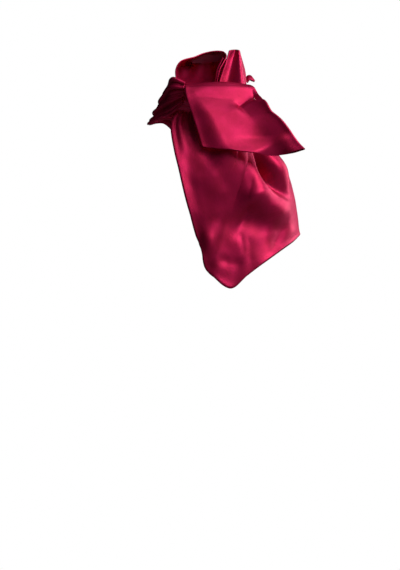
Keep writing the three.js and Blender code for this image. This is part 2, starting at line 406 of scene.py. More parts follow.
@dataclass
class DoubledStrip:
    """A strip of doubled cloth as one closed flattened tube with soft rolled edges.

    rings is the number of sections and columns the number of points across each layer. half is half of the
    thickness and never under thinnest. roll is the same at the edges, which it nears over roll_reach, and is
    at most the share roll_most of the width. An open end is a pocket of the given depth in rows between two
    layers of the cloth thickness, held apart by the swell. row_map may move the rings along the strip.
    """

    surface: StripSurface
    rings: int
    columns: int
    half: float = 0.95
    roll: float = 1.7
    roll_reach: float = 4.0
    roll_most: float = 0.45
    thinnest: float = 0.12
    end: End = End.CLOSED
    cloth: float = 0.6
    pocket: float = 0.9
    pocket_rings: int = 44
    hem_rings: int = 8
    hem_rows: float = 0.02
    edge_columns: int = 6
    swell: Spread | None = None
    row_map: Spread | None = None

    def ring_rows(self) -> tuple[Array, Array]:
        """Row coordinate and inset of every ring, from the first end over the hem into the pocket.

        The rows run evenly to the end. An open end then turns over on a half circle whose depth is
        hem_rows, while the inset grows to the cloth's thickness, and runs back up inside.

        Returns:
            The row coordinates and the insets.
        """
        last = self.surface.last
        if self.end is End.CLOSED:
            return np.linspace(0.0, last, self.rings), np.zeros(self.rings)
        turn = np.linspace(0.0, math.pi, self.hem_rings)[1:-1]
        outer = np.linspace(0.0, last - self.hem_rows, self.rings)
        hem = last - self.hem_rows + self.hem_rows * np.sin(turn)
        inner = np.linspace(last - self.hem_rows, last - self.pocket, self.pocket_rings)
        inset = self.cloth * 0.5 * (1.0 - np.cos(turn))
        rows = np.concatenate([outer, hem, inner])
        return rows, np.concatenate([np.zeros(self.rings), inset, np.full(self.pocket_rings, self.cloth)])

    def layer(self, width: Array, roll: Array) -> Array:
        """Places across one layer: spaced as 1 - cos over each rolled edge, and evenly between them.

        Args:
            width: Width of each ring, as a column.
            roll: Radius of its rolled edges, as a column.

        Returns:
            Distances from the front edge (rings, columns).
        """
        quarter = 1.0 - np.cos(np.linspace(0.0, 0.5 * math.pi, self.edge_columns + 1))
        middle = np.linspace(0.0, 1.0, self.columns - 2 * self.edge_columns)
        near = np.concatenate([quarter[:-1], np.ones(len(middle) + self.edge_columns)])
        share = np.concatenate([np.zeros(self.edge_columns), middle, np.ones(self.edge_columns)])
        return roll * near + share * (width - 2.0 * roll) + roll * (1.0 - near[::-1])

    def sections(self) -> tuple[Array, Array, Array]:
        """Points of every ring, with the distances along and round the cloth for its map.

        A ring runs along the outer layer from the front edge to the back edge and returns along the inner
        one. Its distance off the middle surface is the half thickness times a quarter circle near the edge.

        Returns:
            Points (rings, ring size, 3), distance along and distance round the ring (rings, ring size + 1).
        """
        rows, inset = self.ring_rows()
        inset = inset[:, None]
        width = self.surface.width(rows)[:, None]
        roll = np.minimum(self.roll, self.roll_most * width)
        layer = self.layer(width, roll)
        ring = np.concatenate([layer, layer[:, -2:0:-1]], axis=1)
        side = np.where(np.arange(ring.shape[1]) < self.columns, 1.0, -1.0)[None, :]
        edge = np.minimum(ring, width - ring)
        across = (ring * (1.0 - 2.0 * inset / width) + inset) / width
        row = np.broadcast_to(rows[:, None], ring.shape)
        if self.row_map is not None:
            row = self.row_map(row, across)
        half = self.half + (self.roll - self.half) * bell(edge, self.roll_reach)
        if self.swell is not None:
            half = half + self.swell(row, across)
        half = np.maximum(half - inset, self.thinnest)
        off = side * half * np.sqrt(1.0 - (1.0 - np.clip(edge / roll, 0.0, 1.0)) ** 2)
        points = self.surface.point(row, across)
        points = points + off[..., None] * self.surface.normal(self.surface.point, row, across)
        walked = np.broadcast_to(self.surface.travelled(rows)[:, None], (len(rows), ring.shape[1] + 1))
        round_ring = np.concatenate([layer, 2.0 * width - layer[:, -2::-1]], axis=1)
        return points, walked, round_ring

    def build(self, name: str) -> bpy.types.Object:
        """The strip as a mesh object: quads between the rings, and a zip of quads across each end.

        Args:
            name: The object's name.

        Returns:
            The new object, with its cloth map.
        """
        points, along, aside = self.sections()
        rings, size = points.shape[:2]
        ring, place = np.meshgrid(np.arange(rings - 1), np.arange(size), indexing="ij")
        corner_ring = np.stack([ring, ring + 1, ring + 1, ring], axis=-1).reshape(-1, 4)
        corner_place = np.stack([place, place, place + 1, place + 1], axis=-1).reshape(-1, 4)
        half = size // 2
        step = np.arange(1, half - 1)
        zip_place = np.stack([step, step + 1, size - step - 1, size - step], axis=-1)
        tip_place = np.array([[0, 1, size - 1], [half - 1, half, half + 1]])
        quads = [np.stack([corner_ring, corner_place])]
        tris = []
        for end_ring, turn in ((0, 1), (rings - 1, -1)):
            quads.append(np.stack([np.full_like(zip_place, end_ring), zip_place])[:, :, ::turn])
            tris.append(np.stack([np.full_like(tip_place, end_ring), tip_place])[:, :, ::turn])
        quad_at = np.concatenate(quads, axis=1)
        tri_at = np.concatenate(tris, axis=1)
        corners = np.concatenate([quad_at.reshape(2, -1), tri_at.reshape(2, -1)], axis=1)
        cloth_map = np.stack([along[corners[0], corners[1]], aside[corners[0], corners[1]]], axis=-1)
        return mesh_object(
            name,
            points.reshape(-1, 3) * MM,
            quad_at[0] * size + quad_at[1] % size,
            tri_at[0] * size + tri_at[1] % size,
            cloth_map * MM,
        )


def link_object(name: str, data: bpy.types.ID) -> bpy.types.Object:
    """A new object for a mesh, a lamp or a camera, linked into the scene.

    Args:
        name: The object's name.
        data: What it shows.

    Returns:
        The new object, at the origin.
    """
    made = bpy.data.objects.new(name, data)
    bpy.context.scene.collection.objects.link(made)
    return made


def mesh_object(name: str, points: Array, quads: Array, tris: Array, cloth_map: Array) -> bpy.types.Object:
    """A smooth mesh object whose faces point outward.

    The signed volume is a sixth of the sum of each triangle's corner triple products. Where it is negative,
    every face is turned round.

    Args:
        name: The object's name.
        points: Vertex places in metres.
        quads: Four vertex numbers a face.
        tris: Three vertex numbers a face.
        cloth_map: A map coordinate for each corner, quads first.

    Returns:
        The new object, linked into the scene.
    """
    halves = np.concatenate([quads[:, [0, 1, 2]], quads[:, [0, 2, 3]], tris])
    a, b, c = (points[halves[:, corner]] for corner in range(3))
    volume = np.einsum("ij,ij->i", a, np.cross(b, c)).sum() / 6.0
    quad_map, tri_map = np.split(cloth_map, [quads.size])
    quad_map = quad_map.reshape(-1, 4, 2)
    tri_map = tri_map.reshape(-1, 3, 2)
    if volume < 0.0:
        quads, tris = quads[:, ::-1], tris[:, ::-1]
        quad_map, tri_map = quad_map[:, ::-1], tri_map[:, ::-1]
    mesh = bpy.data.meshes.new(name)
    mesh.from_pydata(points.tolist(), [], quads.tolist() + tris.tolist())
    flat = np.concatenate([quad_map.reshape(-1), tri_map.reshape(-1)]).astype(np.float32)
    mesh.uv_layers.new(name=CLOTH_MAP).data.foreach_set("uv", flat)
    mesh.polygons.foreach_set("use_smooth", np.ones(len(mesh.polygons), bool))
    mesh.update()
    return link_object(name, mesh)


def grid_quads(rows: int, columns: int, closed: bool) -> Array:
    """Faces of a grid of points that are numbered row by row.

    Args:
        rows: Number of rows.
        columns: Points in a row.
        closed: Whether each row's last point is joined to its first.

    Returns:
        Four vertex numbers a face.
    """
    faces = columns if closed else columns - 1
    row, place = np.meshgrid(np.arange(rows - 1), np.arange(faces), indexing="ij")
    near = row * columns + place
    far = row * columns + (place + 1) % columns
    return np.stack([near, near + columns, far + columns, far], axis=-1).reshape(-1, 4)


def end_fans(rings: int, size: int) -> Array:
    """Triangles from the first and the last ring of a tube to two end points, numbered after the rings.

    Args:
        rings: Number of rings.
        size: Points in a ring.

    Returns:
        Three vertex numbers a face.
    """
    near = np.arange(size)
    after = (near + 1) % size
    foot = (rings - 1) * size
    first = np.stack([np.full(size, rings * size), near, after], axis=-1)
    final = np.stack([np.full(size, rings * size + 1), foot + after, foot + near], axis=-1)
    return np.concatenate([first, final])


@dataclass(frozen=True)
class NodeBench:
    """Puts nodes into one shader tree and joins them."""

    tree: bpy.types.NodeTree

    def find(self, kind: str) -> bpy.types.Node:
        """The first node of a kind that is already in the tree."""
        return next(node for node in self.tree.nodes if node.type == kind)

    def fill(self, node: bpy.types.Node, values: dict[str | int, Any]) -> None:
        """Set input sockets of a node, by name or number."""
        for socket, value in values.items():
            node.inputs[socket].default_value = value

    def add(self, kind: str, values: dict[str | int, Any] | None = None, **settings: Any) -> bpy.types.Node:
        """A new node, with its own settings made before its sockets are filled.

        Args:
            kind: The node's type.
            values: Values for its input sockets, by name or number.
            **settings: The node's own properties.

        Returns:
            The node.
        """
        made = self.tree.nodes.new(kind)
        for label, choice in settings.items():
            setattr(made, label, choice)
        self.fill(made, values or {})
        return made

    def join(self, source: bpy.types.NodeSocket, *targets: bpy.types.NodeSocket) -> None:
        """Link an output socket to each of the input sockets."""
        for target in targets:
            self.tree.links.new(source, target)

    def split_sight(self, lit: bpy.types.Node, seen: bpy.types.Node, out: str) -> None:
        """Show one shader to the camera's own rays and another to every other ray.

        Args:
            lit: The shader node for the light that reaches the cloth.
            seen: The shader node for what the camera sees.
            out: The kind of the tree's output node.
        """
        sight = self.add("ShaderNodeLightPath")
        pick = self.add("ShaderNodeMixShader")
        self.join(sight.outputs["Is Camera Ray"], pick.inputs["Fac"])
        self.join(lit.outputs[0], pick.inputs[1])
        self.join(seen.outputs[0], pick.inputs[2])
        self.join(pick.outputs["Shader"], self.find(out).inputs["Surface"])


def new_material(name: str, shown: Colour) -> bpy.types.Material:
    """A new material with nodes.

    Args:
        name: The material's name.
        shown: Its plain colour.

    Returns:
        The material, with a Principled shader in it.
    """
    made = bpy.data.materials.new(name)
    made.use_nodes = True
    made.diffuse_color = shown
    return made


@dataclass(frozen=True)
class WeaveGroup:
    """The shared weave: long satin floats, the yarns across them and slow unevenness of the dye.

    Lengths are metres on the cloth's own map. The shares say how much of each shows in the colour, and
    yarn_height how much the yarns add to the floats in the bump.
    """

    name: str = "satin_weave"
    float_length: float = 0.0042
    float_detail: float = 2.0
    float_share: float = 0.45
    yarn_pitch: float = 0.00055
    yarn_scale: float = 0.31
    yarn_wander: float = 1.2
    yarn_height: float = 0.6
    cloud_size: float = 0.016
    cloud_detail: float = 3.0
    cloud_share: float = 0.55

    def tree(self) -> bpy.types.NodeTree:
        """The node group, made once: Shade, Gloss and Height change over the surface.

        Returns:
            The group with its sockets and nodes.
        """
        found = bpy.data.node_groups.get(self.name)
        if found is not None:
            return found
        tree = bpy.data.node_groups.new(self.name, "ShaderNodeTree")
        for label in ("Cloth", "Place"):
            tree.interface.new_socket(label, in_out="INPUT", socket_type="NodeSocketVector")
        for label in ("Shade", "Gloss", "Height"):
            tree.interface.new_socket(label, in_out="OUTPUT", socket_type="NodeSocketFloat")
        bench = NodeBench(tree)
        enter = bench.add("NodeGroupInput")
        leave = bench.add("NodeGroupOutput")
        thread_scale = (1.0 / self.float_length, 1.0 / self.yarn_pitch, 1.0)
        stretch = bench.add("ShaderNodeMapping", {"Scale": thread_scale})
        floats = bench.add("ShaderNodeTexNoise", {"Scale": 1.0, "Detail": self.float_detail})
        yarn_look = {"Scale": self.yarn_scale, "Distortion": self.yarn_wander}
        yarns = bench.add("ShaderNodeTexWave", yarn_look, bands_direction="Y")
        cloud_look = {"Scale": 1.0 / self.cloud_size, "Detail": self.cloud_detail}
        clouds = bench.add("ShaderNodeTexNoise", cloud_look)
        dye = bench.add("ShaderNodeMath", {1: self.cloud_share}, operation="MULTIPLY")
        shade = bench.add("ShaderNodeMath", {1: self.float_share}, operation="MULTIPLY_ADD")
        height = bench.add("ShaderNodeMath", {1: self.yarn_height}, operation="MULTIPLY_ADD")
        bench.join(enter.outputs["Cloth"], stretch.inputs["Vector"])
        bench.join(stretch.outputs["Vector"], floats.inputs["Vector"], yarns.inputs["Vector"])
        bench.join(enter.outputs["Place"], clouds.inputs["Vector"])
        bench.join(clouds.outputs["Fac"], dye.inputs[0])
        bench.join(floats.outputs["Fac"], shade.inputs[0], height.inputs[2], leave.inputs["Gloss"])
        bench.join(dye.outputs["Value"], shade.inputs[2])
        bench.join(yarns.outputs["Fac"], height.inputs[0])
        bench.join(shade.outputs["Value"], leave.inputs["Shade"])
        bench.join(height.outputs["Value"], leave.inputs["Height"])
        return tree


@dataclass(frozen=True)
class SatinFinish:
    """Smooth wine-red satin: coloured sheen, fine weave, slow unevenness of the dye.

    shade_span is the part of the weave's shade that runs from the deep to the bright colour.
    """

    name: str = "satin_cloth"
    deep: Colour = (0.42, 0.001, 0.04, 1.0)
    bright: Colour = (0.6, 0.005, 0.09, 1.0)
    edge: Colour = (1.0, 0.6, 0.75, 1.0)
    metallic: float = 0.8
    gleam: float = 0.22
    gleam_rough: float = 0.46
    smooth: float = 0.44
    rough: float = 0.54
    shade_span: Span = (0.3, 0.7)
    bump: float = 0.22
    bump_depth: float = 0.0002
    weave: WeaveGroup = WeaveGroup()

    def material(self) -> bpy.types.Material:
        """The finish as a material: the weave shades the colour, the roughness and a fine bump.

        Returns:
            The material, made once for each name.
        """
        found = bpy.data.materials.get(self.name)
        if found is not None:
            return found
        made = new_material(self.name, self.bright)
        bench = NodeBench(made.node_tree)
        shader = bench.find("BSDF_PRINCIPLED")
        bench.fill(shader, {"Metallic": self.metallic, "Specular Tint": self.edge})
        bench.fill(shader, {"Coat Weight": self.gleam, "Coat Roughness": self.gleam_rough})
        place = bench.add("ShaderNodeTexCoord")
        cloth = bench.add("ShaderNodeUVMap", uv_map=CLOTH_MAP)
        weave = bench.add("ShaderNodeGroup", node_tree=self.weave.tree())
        colour = bench.add("ShaderNodeMix", {"A": self.deep, "B": self.bright}, data_type="RGBA")
        gloss = bench.add("ShaderNodeMapRange", {"To Min": self.smooth, "To Max": self.rough})
        low, high = self.shade_span
        shade = bench.add("ShaderNodeMapRange", {"From Min": low, "From Max": high})
        grain = bench.add("ShaderNodeBump", {"Strength": self.bump, "Distance": self.bump_depth})
        bench.join(cloth.outputs["UV"], weave.inputs["Cloth"])
        bench.join(place.outputs["Object"], weave.inputs["Place"])
        bench.join(weave.outputs["Shade"], shade.inputs["Value"])
        bench.join(shade.outputs["Result"], colour.inputs["Factor"])
        bench.join(colour.outputs["Result"], shader.inputs["Base Color"])
        bench.join(weave.outputs["Gloss"], gloss.inputs["Value"])
        bench.join(gloss.outputs["Result"], shader.inputs["Roughness"])
        bench.join(weave.outputs["Height"], grain.inputs["Height"])
        bench.join(grain.outputs["Normal"], shader.inputs["Normal"])
        return made


@dataclass(frozen=True)
class ThreadFinish:
    """Pale twisted sewing thread."""

    name: str = "tack_thread"
    dark: Colour = (0.55, 0.30, 0.36, 1.0)
    pale: Colour = (0.92, 0.80, 0.82, 1.0)
    rough: float = 0.6
    twist_scale: float = 900.0
    bump: float = 0.4
    bump_depth: float = 0.0001

    def material(self) -> bpy.types.Material:
        """The finish as a material: slanting bands of twist shade the colour and a fine bump.

        Returns:
            The new material.
        """
        made = new_material(self.name, self.pale)
        bench = NodeBench(made.node_tree)
        shader = bench.find("BSDF_PRINCIPLED")
        bench.fill(shader, {"Roughness": self.rough})
        place = bench.add("ShaderNodeTexCoord")
        twist = bench.add("ShaderNodeTexWave", {"Scale": self.twist_scale}, bands_direction="DIAGONAL")
        colour = bench.add("ShaderNodeMix", {"A": self.dark, "B": self.pale}, data_type="RGBA")
        grain = bench.add("ShaderNodeBump", {"Strength": self.bump, "Distance": self.bump_depth})
        bench.join(place.outputs["Object"], twist.inputs["Vector"])
        bench.join(twist.outputs["Fac"], colour.inputs["Factor"], grain.inputs["Height"])
        bench.join(colour.outputs["Result"], shader.inputs["Base Color"])
        bench.join(grain.outputs["Normal"], shader.inputs["Normal"])
        return made


@dataclass(frozen=True)
class FloorFinish:
    """Pale floor: white to the eye, and dim in the cloth's reflections."""

    name: str = "pale_floor"
    dim: Colour = (0.2, 0.2, 0.2, 1.0)
    rough: float = 0.9
    glow: float = 1.0

    def material(self) -> bpy.types.Material:
        """The finish as a material: a plain glow for the camera, and a dull grey for the light.

        Returns:
            The new material.
        """
        made = new_material(self.name, WHITE)
        bench = NodeBench(made.node_tree)
        shader = bench.find("BSDF_PRINCIPLED")
        bench.fill(shader, {"Base Color": self.dim, "Roughness": self.rough})
        glow = bench.add("ShaderNodeEmission", {"Strength": self.glow})
        bench.split_sight(shader, glow, "OUTPUT_MATERIAL")
        return made


@dataclass(frozen=True)
class Cut:
    """The flat cloth that a piece was made from, in metres, and how it is held."""

    width: float
    length: float
    hold: Hold
    rests_on: tuple[str, ...]


@dataclass
class ClothPiece(ABC):
    """A piece of the doubled strip: its name, the solid that it replaces and its cut."""

    name: str
    node: str
    cut: Cut

    @abstractmethod
    def mesh(self) -> bpy.types.Object:
        """The piece's bare mesh object."""

    def dress(self, piece: bpy.types.Object) -> None:
        """Give the piece its satin, make it ride on the body and hide the solid that it stands for.

        Args:
            piece: The bare mesh object.
        """
        piece.data.materials.append(SatinFinish().material())
        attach(piece, BODY)
        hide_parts(self.node)

    def build(self) -> bpy.types.Object:
        """Make the mesh and dress it.

        Returns:
            The finished piece.
        """
        piece = self.mesh()
        self.dress(piece)
        return piece


@dataclass
class HeadBand(ClothPiece):
    """The wide doubled strip round the back of the head, with its pleat, drape folds and crossover.

    The pleat's ridge slants from row pleat_top at the back edge to row pleat_end at the share pleat_low
    across the strip, and its hollow ends at row pleat_hollow. pleat_drop and the pleat's crests are shares
    of the way past the ridge. The other windows and spans are in rows.
    """

    name: str = "band_cloth"
    node: str = "head_band"
    cut: Cut = Cut(0.105, 0.505, Hold.STRETCHED, ("knot",))
    left_rows: tuple[Row, ...] = (
        Row((29, -23, -9.5), (14, 26, 2), 4, 2),
        Row((43, -28, -22), (30, 34, -5), 6, 1.6),
        Row((65, -25, -48), (42, 39, -18), 7, 0.8),
        Row((75, -18.6, -73), (46, 40, -27), 8),
        Row((78, -10.5, -105), (48, 42.5, -32), 10.5),
        Row((77, -0.3, -136), (49.5, 45, -34.5), 10),
        Row((74.5, 6.5, -156), (50.5, 47.5, -36), 9, 0, 0, 4),
        Row((69, 13.3, -174), (50, 50.5, -37), 8.5, 0, 0, 6),
        Row((66.5, 32.5, -188.5), (48, 55.5, -37.5), 8.5, 0, 0, 6),
        Row((63.5, 50, -175), (45, 60, -37.5), 9, 0, 0, 5.5),
        Row((56, 72.5, -158), (38, 65, -37), 10, 0, 0, 6.5),
        Row((32, 93, -142.5), (27, 69.5, -37.5), 11, 0, 0, 5),
        Row((0, 105.5, -133), (0, 72.5, -38), 9.5),
    )
    crossover_rows: tuple[Row, ...] = (
        Row((-66, -20, -50), (-42, 40, -18), 8, 0.8),
        Row((-50, -24, -27), (-31, 26, 0), 8, 2),
        Row((-27, -36, -14), (-16, 0, 11), 6, 3),
        Row((0, -52, -17), (0, -35, 14), 0.5, 0.9),
        Row((11, -41, -11.5), (12, -30, 24.5), 1, 0.8),
        Row((22, -29, -8), (30, -26, 30), 1.5, 0.6),
        Row((32, -16, 2), (34, -13.5, 24), 1, 0.4),
    )
    setback: float = 3.0
    mirrored_from: int = 3
    gathers: float = 3.0
    pleat_top: float = 6.75
    pleat_end: float = 10.8
    pleat_hollow: float = 11.6
    pleat_low: float = 0.38
    pleat_full: float = 0.8
    pleat_depth: float = 17.0
    pleat_drop: Window = Window(0.0, 0.28, 0.3, 0.62)
    pleat_lip: Crest = Crest(2.5, 0.0, 0.16)
    pleat_second_lip: Crest = Crest(1.6, 0.2, 0.05)
    pleat_rim: Crest = Crest(8.0, 0.7, 0.2)
    pleat_overhang: Crest = Crest(0.22, 0.0, 0.12)
    pleat_fade: float = 0.7
    pleat_fade_from: float = 0.7
    folds: tuple[Fold, ...] = (
        Fold((-8, -58), (4, -116), -3.2, 34, 20, 16),
        Fold((36, -48), (58, -92), 9.8, 14, 20, 12),
        Fold((57, -95), (79, -112), 4.5, 10, 18, 8),
        Fold((50, -113), (83, -130), -6.0, 11, 22, 7),
        Fold((9, -140), (18, -168), 1.2, 10, 6, 8),
        Fold((66, -138), (72, -165), 1.6, 16, 32, 12),
        Fold((2, -80), (8, -112), 1.5, 30, 9, 10),
        Fold((-1, -56), (24, -90), 1.2, 7, 9, 8),
        Fold((86, -104), (91, -128), 4.0, 10, 24, 10),
        Fold((25, -160), (28, -161), -0.9, 5, 5, 4),
        Fold((37, -163), (40, -164), -0.9, 5, 5, 4),
        Fold((43, -136), (46, -150), -0.6, 3, 3, 4),
        Fold((51, -140), (52, -158), -0.6, 3.5, 3, 4),
    )
    fold_span: Span = (2.0, 3.5)
    curl: Crest = Crest(-5.5, 0.0, 0.075)
    curl_window: Window = Window(4.2, 5.2, 6.6, 7.4)
    rim: Crest = Crest(0.7, 0.06, 0.06)
    rim_window: Window = Window(2.0, 3.0, 4.4, 5.2)
    ripples: tuple[Ripple, ...] = (Ripple(0.55, 5.3, 1.9), Ripple(0.35, 8.7, 0.4))
    ripple_span: Span = (1.0, 2.6)
    ripple_gain: float = 1.4
    mottle: Mottle = Mottle(seed=11, height=0.14, shortest=12.0, longest=34.0)
    rings: int = 470
    columns: int = 92

    @property
    def back_row(self) -> float:
        """The row coordinate at the middle of the back."""
        return float(len(self.left_rows) - 1)

    def rows(self) -> list[Row]:
        """The left half, the right half as the mirror of it, and the crossover."""
        right = [row.mirrored(self.setback) for row in self.left_rows[self.mirrored_from : -1]]
        return [*self.left_rows, *right[::-1], *self.crossover_rows]

    def from_end(self, row: Array) -> Array:
        """The row coordinate counted the same way on both halves: back - |back - row|."""
        return self.back_row - np.abs(self.back_row - row)

    def ridge(self, across: Array) -> Array:
        """The row coordinate of the pleat's ridge, which slants in a straight line across the strip."""
        share = (np.maximum(across, self.pleat_low) - self.pleat_low) / (1.0 - self.pleat_low)
        return self.pleat_end + share * (self.pleat_top - self.pleat_end)

    def past_ridge(self, row: Array, across: Array) -> Array:
        """Share of the way from the pleat's ridge to the far side of its hollow."""
        ridge = self.ridge(across)
        return (self.from_end(row) - ridge) / (self.pleat_hollow - ridge)

    def follow_ridge(self, row: Array, across: Array) -> Array:
        """Slide row coordinates so that one ring of the mesh lies along the pleat's ridge.

        On each half, the rows before pleat_top are stretched to end at the ridge, and the rows after it
        are pressed together between the ridge and the middle of the back.

        Args:
            row: Row coordinates of the rings.
            across: Shares across the strip.

        Returns:
            The row coordinates to use instead.
        """
        counted = self.from_end(row)
        ridge = self.ridge(across)
        rest = (counted - self.pleat_top) / (self.back_row - self.pleat_top)
        above = counted * ridge / self.pleat_top
        below = ridge + rest * (self.back_row - ridge)
        moved = np.where(counted <= 0.0, counted, np.where(counted <= self.pleat_top, above, below))
        return self.back_row + np.sign(row - self.back_row) * (self.back_row - moved)

    def slide(self, row: Array, across: Array) -> Array:
        """Overhang of the pleat's lip: a bell round the ridge, in rows towards the back of the head.

        Args:
            row: Row coordinates.
            across: Shares across the strip.

        Returns:
            How far each place moves along the strip, in rows.
        """
        rise = ramp(across, self.pleat_low, self.pleat_full)
        lean = rise * self.pleat_overhang.rise(self.past_ridge(row, across))
        return -np.sign(row - self.back_row) * lean

    def pleat(self, row: Array, across: Array) -> Array:
        """Height of the pleat: a raised lip, a steep drop with a second lip in it, and a slow return.

        It grows from pleat_low to pleat_full across the strip, fades towards the back edge, and is gone
        at the middle of the back.

        Args:
            row: Row coordinates.
            across: Shares across the strip.

        Returns:
            The height at each place.
        """
        past = self.past_ridge(row, across)
        rise = ramp(across, self.pleat_low, self.pleat_full)
        fade = 1.0 - self.pleat_fade * ramp(across, self.pleat_fade_from, 1.0)
        still = 1.0 - ramp(self.from_end(row), self.back_row - 1.0, self.back_row)
        raised = self.pleat_lip.rise(past) + self.pleat_second_lip.rise(past) + self.pleat_rim.rise(past)
        return rise * fade * still * (raised - self.pleat_depth * self.pleat_drop.share(past))

    def relief(self, row: Array, across: Array, base: Array) -> Array:
        """Height over the plain strip: the pleat, the drape folds, the edge's curl and unevenness.

        The folds are drawn in the side view and repeated on the right side. The ripples belong to the
        gathered end at the knot.

        Args:
            row: Row coordinates.
            across: Shares across the strip.
            base: The plain strip's points.

        Returns:
            The height at each point.
        """
        counted = self.from_end(row)
        y = base[..., 1] - self.setback * ramp(row, self.back_row, self.back_row + 1.0)
        z = base[..., 2]
        drape = sum(fold.rise(y, z) for fold in self.folds) * ramp(counted, *self.fold_span)
        curl = self.curl.rise(across) * self.curl_window.share(counted)
        rim = self.rim.rise(across) * self.rim_window.share(counted)
        drawn = self.ripple_gain * (1.0 - ramp(counted, *self.ripple_span))
        gathered = drawn * sum(ripple.rise(across) for ripple in self.ripples)
        return self.pleat(row, across) + drape + curl + rim + gathered + self.mottle.rise(y, z)

    def mesh(self) -> bpy.types.Object:
        """The strip as one closed doubled mesh."""
        surface = StripSurface(self.rows(), self.gathers, self.relief, self.slide)
        return DoubledStrip(surface, self.rings, self.columns, row_map=self.follow_ridge).build(self.name)


@dataclass
class SideFlap(ClothPiece):
    """The end of the strip that falls over the left side, with its dimple, valley and open hem.

    bend is the broad turn of the whole flap. The spans are the rows over which the folds, the bend and the
    hem's lip grow.
    """

    name: str = "flap_cloth"
    node: str = "side_flap"
    cut: Cut = Cut(0.105, 0.1, Hold.HUNG, ("knot", "band_cloth"))
    rows: tuple[Row, ...] = (
        Row((18, -6, 15), (20, 30, 15), 1),
        Row((29, -12, 18.5), (33, 44, 18.5), 2.5),
        Row((44.5, -13.5, 19.5), (41, 54, 19), 3.5),
        Row((49, -14, 16), (43, 57.5, 16.3), 2),
        Row((52, -12.5, 3), (44, 65.5, -1.5), 1.5),
        Row((57.5, -8, -12), (49, 72, -18), 1.5, 0, 0.5),
        Row((65.5, -2, -30), (56, 88.5, -35), 1.5, 0, 1.5),
        Row((72, 3, -46.5), (62, 106, -55.5), 1.5, 0.4, 6),
    )
    hem_waves: float = 2.5
    folds: tuple[Fold, ...] = (
        Fold((42, -5), (61, 8.5), -4.5, 6, 14, 5),
        Fold((43, -4.5), (59, 7.5), -1.2, 3, 3, 4),
        Fold((80, 14), (127, -63), 25.0, 10, 31, 8),
        Fold((66, -38), (96, -38), -3.5, 11, 6, 24),
        Fold((34, -57), (112, -59), 3.0, 8, 20, 8),
        Fold((55.2, 12), (56.2, 4), -0.8, 1.6, 1.6, 2),
    )
    fold_span: Span = (2.4, 4.2)
    bend: Fold = Fold((-2, 10), (36, -64), 10.5, 110, 17, 10)
    bend_span: Span = (2.2, 5.1)
    lip: Crest = Crest(2.6, 0.88, 0.09)
    lip_span: Span = (5.9, 7.0)
    mottle: Mottle = Mottle(seed=23, height=0.12, shortest=14.0, longest=36.0)
    rings: int = 220
    columns: int = 150
    half: float = 0.85
    roll: float = 1.5

    def relief(self, row: Array, across: Array, base: Array) -> Array:
        """Height over the plain flap: the folds drawn in the side view, the bend and a slow unevenness.

        Args:
            row: Row coordinates.
            across: Shares across the strip, which the folds don't need.
            base: The plain flap's points.

        Returns:
            The height at each point.
        """
        y = base[..., 1]
        z = base[..., 2]
        height = sum(fold.rise(y, z) for fold in self.folds)
        drape = (height + self.mottle.rise(y, z)) * ramp(row, *self.fold_span)
        return drape + self.bend.rise(y, z) * ramp(row, *self.bend_span)

    def swell(self, row: Array, across: Array) -> Array:
        """How far the two layers stand apart: a bell across the hem, growing towards it."""
        return self.lip.rise(across) * ramp(row, *self.lip_span)

    def mesh(self) -> bpy.types.Object:
        """The flap as one closed doubled mesh with an open hem.

        Returns:
            The bare mesh object.
        """
        strip = DoubledStrip(
            StripSurface(self.rows, self.hem_waves, self.relief),
            self.rings,
            self.columns,
            self.half,
            self.roll,
            end=End.OPEN,
            swell=self.swell,
        )
        return strip.build(self.name)


@dataclass
class CrownStrip(ClothPiece):
    """A thin strip that stands on the crown, with slow unevenness along and across its cloth.

    row_run and width are the lengths that the unevenness takes a row and the whole width to be.
    """

    rows: tuple[Row, ...]
    mottle: Mottle
    row_run: float
    width: float
    rings: int
    columns: int
    half: float = 0.5
    roll: float = 0.65
    roll_reach: float = 2.0

    def relief(self, row: Array, across: Array, base: Array) -> Array:
        """Height over the plain strip, from the places along and across the cloth."""
        return self.mottle.rise(self.row_run * row, self.width * across)

    def mesh(self) -> bpy.types.Object:
        """The strip as one closed doubled mesh.

        Returns:
            The bare mesh object.
        """
        surface = StripSurface(self.rows, relief=self.relief)
        strip = DoubledStrip(surface, self.rings, self.columns, self.half, self.roll, self.roll_reach)
        return strip.build(self.name)


@dataclass
class CrownLoop(CrownStrip):
    """The loop on the crown, open to the left and pinched at its far end."""

    name: str = "loop_cloth"
    node: str = "crown_loop"
    cut: Cut = Cut(0.058, 0.11, Hold.FOLDED, ("knot",))
    rows: tuple[Row, ...] = (
        Row((28, 25.5, 50), (-10, 15, 51), 2),
        Row((29, 19.8, 38), (-9, 13, 50), 4),
        Row((28, 15.6, 22.3), (-8, 11, 49), 7),
        Row((28, 4, 21.5), (-8, 6, 49), 8),
        Row((28, -10, 21.5), (-8, 0, 49), 8),
        Row((28.5, -20.5, 24), (-9, -5, 49), 8),
        Row((28.5, -23.5, 36), (-13, -7, 49.5), 6),
        Row((27, -19.5, 46), (-18, -4.5, 50), 3),
        Row((22, -5, 51.5), (-22, 1, 50), 2.5),
        Row((17, 4, 56), (-24, 6, 49.5), 3),
        Row((15, 14, 58.3), (-24, 11, 49), 3),
        Row((15, 26.3, 58), (-23, 16.5, 47), 2.5),
        Row((19.5, 28.8, 53.6), (-22, 18.5, 44), 2),
        Row((28, 22, 38), (-21, 18.5, 38), 3),
        Row((30, 18.8, 22.5), (-20, 17.5, 31), 3),
    )
    mottle: Mottle = Mottle(seed=5, height=0.3, shortest=16.0, longest=40.0)
    row_run: float = 12.0
    width: float = 55.0
    rings: int = 260
    columns: int = 70


